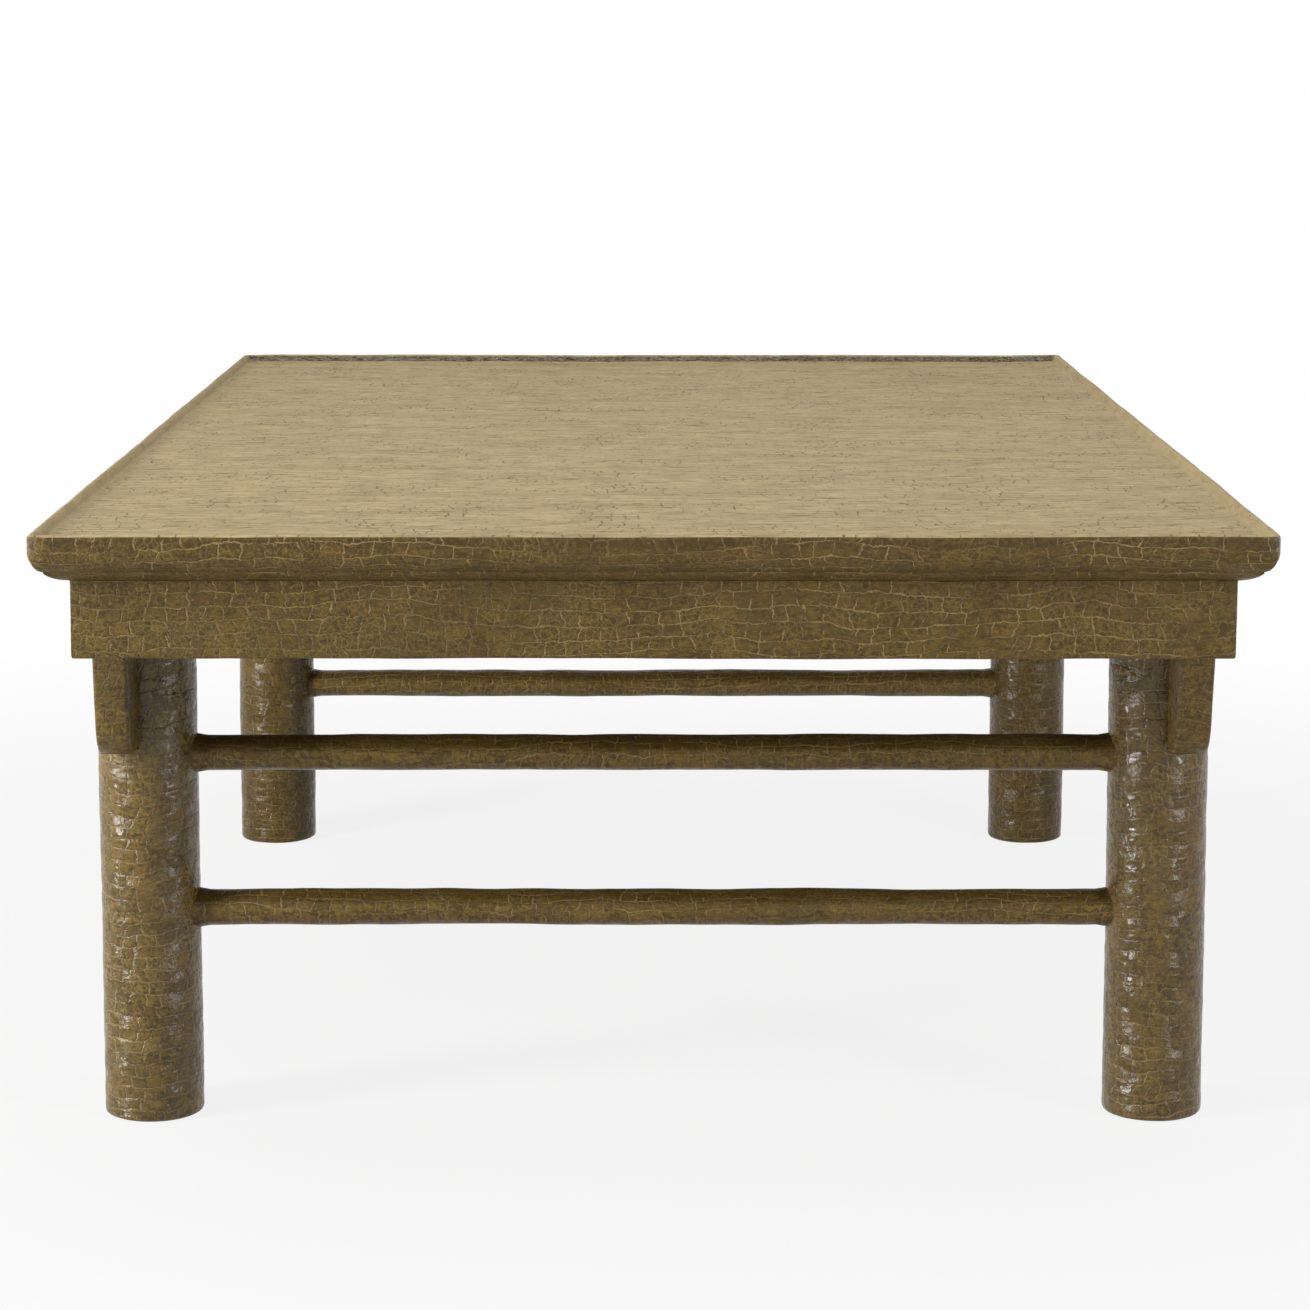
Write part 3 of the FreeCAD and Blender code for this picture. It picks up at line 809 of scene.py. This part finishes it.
def cut_slot(bm, side):
    """Opens the leg above the spandrel's foot for the boards that pass through it."""
    faces_x = [side * x for x in (apron_half_width, apron_half_width - apron_thickness)]
    for x in faces_x:
        upper = [
            item for item in (*bm.faces, *bm.edges, *bm.verts)
            if min(vert.co.z for vert in getattr(item, "verts", [item])) > spandrel_bottom_z - touching
        ]
        bmesh.ops.bisect_plane(bm, geom=upper, plane_co=(x, 0, 0), plane_no=(1, 0, 0), dist=touching)
    low_x, high_x = sorted(faces_x)
    slot = [
        face for face in bm.faces
        if min(vert.co.z for vert in face.verts) > spandrel_bottom_z - touching
        and low_x < face.calc_center_median().x < high_x
    ]
    bmesh.ops.delete(bm, geom=slot, context="FACES")
    corners = {}
    for vert in bm.verts:
        for x in faces_x:
            at_corner = abs(vert.co.z - spandrel_bottom_z) < touching and abs(vert.co.x - x) < touching
            if at_corner and any(edge.is_boundary for edge in vert.link_edges):
                corners.setdefault(x, []).append(vert)
    for pair in corners.values():
        bm.edges.new(pair)
    loops = [open_edges(bm, 0, x) for x in faces_x]
    loops.append(open_edges(bm, 2, spandrel_bottom_z))
    for loop in loops:
        bmesh.ops.edgeloop_fill(bm, edges=loop)


def build_leg(node, finishes):
    """A round leg with uneven rings of lacquer, slotted at the top for the apron and spandrel."""
    low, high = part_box(node)
    middle = Vector(((low.x + high.x) / 2, (low.y + high.y) / 2, 0))
    foot_radius = leg_radius - foot_edge_radius
    bm = bmesh.new()
    bmesh.ops.create_circle(
        bm, cap_ends=True, radius=foot_radius, segments=leg_sides, matrix=Matrix.Translation(middle),
    )
    top = bm.faces[:][0]
    profile = bend((foot_radius, 0), (leg_radius, 0), (leg_radius, foot_edge_radius))
    profile += [(leg_radius, z) for z in even_steps(foot_edge_radius, spandrel_bottom_z, leg_step)[1:]]
    profile += [(leg_radius, z) for z in even_steps(spandrel_bottom_z, soffit_z, leg_step)[1:]]
    radius_now = foot_radius
    z_now = 0.0
    for radius, z in profile:
        made = bmesh.ops.extrude_face_region(bm, geom=[top, *top.edges])
        top = next(item for item in made["geom"] if isinstance(item, bmesh.types.BMFace))
        ratio = radius / radius_now
        space = Matrix.Translation(-middle)
        bmesh.ops.scale(bm, verts=top.verts[:], vec=(ratio, ratio, 1), space=space)
        bmesh.ops.translate(bm, verts=top.verts[:], vec=(0, 0, z - z_now))
        radius_now = radius
        z_now = z
    cut_slot(bm, math.copysign(1.0, middle.x))
    for vert in bm.verts:
        if vert.co.z > foot_edge_radius:
            ring_x = leg_wave_drawn_share * vert.co.x
            ring_y = leg_wave_drawn_share * vert.co.y
            ring_wave = noise.noise(Vector((ring_x, ring_y, vert.co.z)) / leg_wave_length)
            out = Vector((vert.co.x - middle.x, vert.co.y - middle.y, 0))
            vert.co += out.normalized() * ring_wave * leg_wave_depth
    work_by_hand(bm)
    for vert in bm.verts:
        vert.co.z = max(vert.co.z, 0.0)
    # The rear legs take the copy with painted shade
    finish = finishes["shaded_rear_leg"] if middle.y > 0 else finishes["leg"]
    make_piece(node + "_lacquered", bm, (finish,), [node])


def build_spandrel(node, finishes):
    """A spandrel board with a tapered outline, rounded lower corners and soft arrises."""
    low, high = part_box(node)
    middle_y = (low.y + high.y) / 2
    outline = [(-spandrel_reach, apron_bottom_z)]
    taper = (spandrel_reach - spandrel_bottom_reach) / (apron_bottom_z - spandrel_bottom_z)
    bend_y = spandrel_bottom_reach + spandrel_corner_radius * taper
    start = (-bend_y, spandrel_bottom_z + spandrel_corner_radius)
    end = (-spandrel_bottom_reach + spandrel_corner_radius, spandrel_bottom_z)
    outline += [start] + bend(start, (-spandrel_bottom_reach, spandrel_bottom_z), end, wide_bend_steps)
    outline += [(-y, z) for y, z in reversed(outline)]
    bm = bmesh.new()
    board = bm.faces.new([bm.verts.new((low.x, middle_y + y, z)) for y, z in outline])
    far = new_verts(bmesh.ops.extrude_face_region(bm, geom=[board]))
    bmesh.ops.translate(bm, verts=far, vec=(high.x - low.x, 0, 0))
    arrises = [
        edge for edge in bm.edges
        if abs(edge.verts[0].co.x - edge.verts[1].co.x) < edge_slack
        and min(vert.co.z for vert in edge.verts) < apron_bottom_z - edge_slack
    ]
    bmesh.ops.bevel(
        bm, geom=arrises, offset=spandrel_arris_radius, affect="EDGES", segments=arris_segments,
        profile=0.5, material=-1,
    )
    for axis, start, end in ((1, low.y, high.y), (2, spandrel_bottom_z, apron_bottom_z)):
        normal = Vector((0, 0, 0))
        normal[axis] = 1
        for place in even_steps(start, end, long_step)[1:-1]:
            geom = bm.faces[:] + bm.edges[:] + bm.verts[:]
            bmesh.ops.bisect_plane(bm, geom=geom, plane_co=normal * place, plane_no=normal)
    work_by_hand(bm)
    make_piece(node + "_lacquered", bm, (finishes["spandrel"],), [node])


def stretcher_swell(x, out, middle):
    """How far the lacquer stands out at a point of a stretcher; each stretcher has its own unevenness."""
    shift_y, shift_z = broad_swell_shifts
    broad_place = Vector((x / broad_swell_length, middle.y * shift_y, middle.z * shift_z))
    fine_z = out.z / fine_swell_height + middle.z * fine_swell_shift
    fine_place = Vector((x / fine_swell_length, out.y / fine_swell_height, fine_z))
    return noise.noise(broad_place) * broad_swell_depth + noise.noise(fine_place) * fine_swell_depth


def build_stretcher(node, finishes):
    """An oval stretcher, a little uneven, coped to the legs with a small flare of lacquer."""
    low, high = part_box(node)
    middle = (low + high) / 2
    half_depth = (high.y - low.y) / 2
    half_height = (high.z - low.z) / 2
    run = leg_x - leg_radius
    place = Matrix.Translation((-run, middle.y, middle.z)) @ Matrix.Rotation(math.radians(90), 4, "Y")
    oval = Matrix.Diagonal((half_height, half_depth, 1.0, 1.0))
    bm = bmesh.new()
    bmesh.ops.create_circle(bm, cap_ends=True, radius=1.0, segments=stretcher_sides, matrix=place @ oval)
    near = bm.verts[:]
    far = new_verts(bmesh.ops.extrude_face_region(bm, geom=bm.faces[:]))
    bmesh.ops.translate(bm, verts=far, vec=(2 * run, 0, 0))
    divide_bar(bm, near, far, 2 * run)
    # How high round the stretcher each vertex lies, for painted shade along its top
    upper = bm.verts.layers.float.new(UPPER_SIDE)
    for vert in bm.verts:
        out = Vector((0, vert.co.y - middle.y, vert.co.z - middle.z))
        vert[upper] = out.z / half_height
        end_share = max(0.0, 1 - (run - abs(vert.co.x)) / stretcher_flare_length)
        swell = stretcher_swell(vert.co.x, out, middle) + stretcher_flare * end_share ** 2
        vert.co += out.normalized() * swell
        cope = leg_radius - math.sqrt(leg_radius ** 2 - out.y ** 2)
        vert.co.x += math.copysign((cope + stretcher_seat) * end_share, vert.co.x)
    work_by_hand(bm)
    make_piece(node + "_lacquered", bm, (finishes["stretcher"],), [node])


def dress_hidden_nodes(finishes):
    """The battens, splines and pegs keep their CAD shapes and show bare wood."""
    for name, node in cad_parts.items():
        if name.startswith(("panel_batten", "apron_corner", "frame_corner")):
            node.data.materials.clear()
            node.data.materials.append(finishes["bare"])


def pale_floor():
    """A matt grey floor that looks almost white near the table and white further away."""
    material = bpy.data.materials.new("pale_floor")
    material.use_nodes = True
    nodes = Nodes(material.node_tree)
    nodes.tree.nodes.clear()
    away = nodes.add("ShaderNodeVectorMath", operation="LENGTH")
    nodes.feed(away.inputs[0], nodes.add("ShaderNodeTexCoord").outputs["Object"])
    glow = nodes.between(away.outputs["Value"], low=floor_near, high=floor_far, first=floor_near_glow)
    matt = nodes.add("ShaderNodeBsdfDiffuse")
    nodes.feed(matt.inputs["Color"], FLOOR_GREY)
    white = nodes.add("ShaderNodeEmission")
    nodes.feed(white.inputs["Strength"], 1.0)
    mixed = nodes.add("ShaderNodeMixShader")
    nodes.feed(mixed.inputs[0], nodes.maths("MULTIPLY", nodes.seen_directly(), glow))
    nodes.feed(mixed.inputs[1], matt.outputs[0])
    nodes.feed(mixed.inputs[2], white.outputs[0])
    output = nodes.add("ShaderNodeOutputMaterial")
    nodes.feed(output.inputs["Surface"], mixed.outputs[0])
    return material


def build_floor():
    """A wide pale floor that keeps a soft shadow of the table."""
    bm = bmesh.new()
    bmesh.ops.create_grid(bm, x_segments=1, y_segments=1, size=floor_half_size)
    mesh = bpy.data.meshes.new("studio_floor")
    bm.to_mesh(mesh)
    bm.free()
    mesh.materials.append(pale_floor())
    floor = bpy.data.objects.new("studio_floor", mesh)
    bpy.context.scene.collection.objects.link(floor)


def build_world():
    """White surroundings for the eye and for reflections, and a dimmer even light from all round."""
    world = bpy.data.worlds.new("white_studio")
    bpy.context.scene.world = world
    world.use_nodes = True
    nodes = Nodes(world.node_tree)
    nodes.tree.nodes.clear()
    strength = nodes.between(nodes.seen_directly(), low=0.0, high=1.0, first=world_light)
    background = nodes.add("ShaderNodeBackground")
    nodes.feed(background.inputs["Color"], WHITE)
    nodes.feed(background.inputs["Strength"], strength)
    output = nodes.add("ShaderNodeOutputWorld")
    nodes.feed(output.inputs["Surface"], background.outputs[0])


def soft_box(name, place, aim, size, watts):
    """A rectangular studio lamp that faces a point."""
    lamp = bpy.data.lights.new(name, "AREA")
    lamp.shape = "RECTANGLE"
    lamp.size, lamp.size_y = size
    lamp.energy = watts
    holder = bpy.data.objects.new(name, lamp)
    holder.location = place
    holder.rotation_euler = (Vector(aim) - Vector(place)).to_track_quat("-Z", "Y").to_euler()
    bpy.context.scene.collection.objects.link(holder)


def build_lights():
    """One wide lamp overhead, a strong narrow one to the left and a weaker one to the right."""
    soft_box("overhead_box", place=(-0.1, -0.1, 3.0), aim=(-0.1, -0.1, 0.0), size=(3.2, 2.6), watts=68.0)
    soft_box("left_box", place=(-2.65, -1.65, 1.0), aim=(-0.4, -0.5, 0.3), size=(0.6, 2.0), watts=128.0)
    soft_box("right_box", place=(2.1, -2.1, 1.0), aim=(0.4, -0.5, 0.3), size=(0.4, 2.0), watts=37.0)


def build_camera():
    """The photograph's view: from the front end, above the top, with a long lens."""
    camera = bpy.data.cameras.new("photo_camera")
    camera.sensor_width = camera_sensor
    camera.lens = camera_lens
    camera.shift_x, camera.shift_y = camera_shift
    holder = bpy.data.objects.new("photo_camera", camera)
    holder.location = camera_place
    holder.rotation_euler = (math.radians(90 - camera_dip), 0, 0)
    bpy.context.scene.collection.objects.link(holder)
    bpy.context.scene.camera = holder


finishes = make_finishes()
build_rings(finishes)
build_panel(finishes)
for node_name in sorted(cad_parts):
    if node_name.startswith("leg_"):
        build_leg(node_name, finishes)
    elif node_name.startswith("spandrel_"):
        build_spandrel(node_name, finishes)
    elif "stretcher" in node_name:
        build_stretcher(node_name, finishes)
dress_hidden_nodes(finishes)
build_floor()
build_world()
build_lights()
build_camera()
bpy.context.scene.view_settings.view_transform = "Standard"
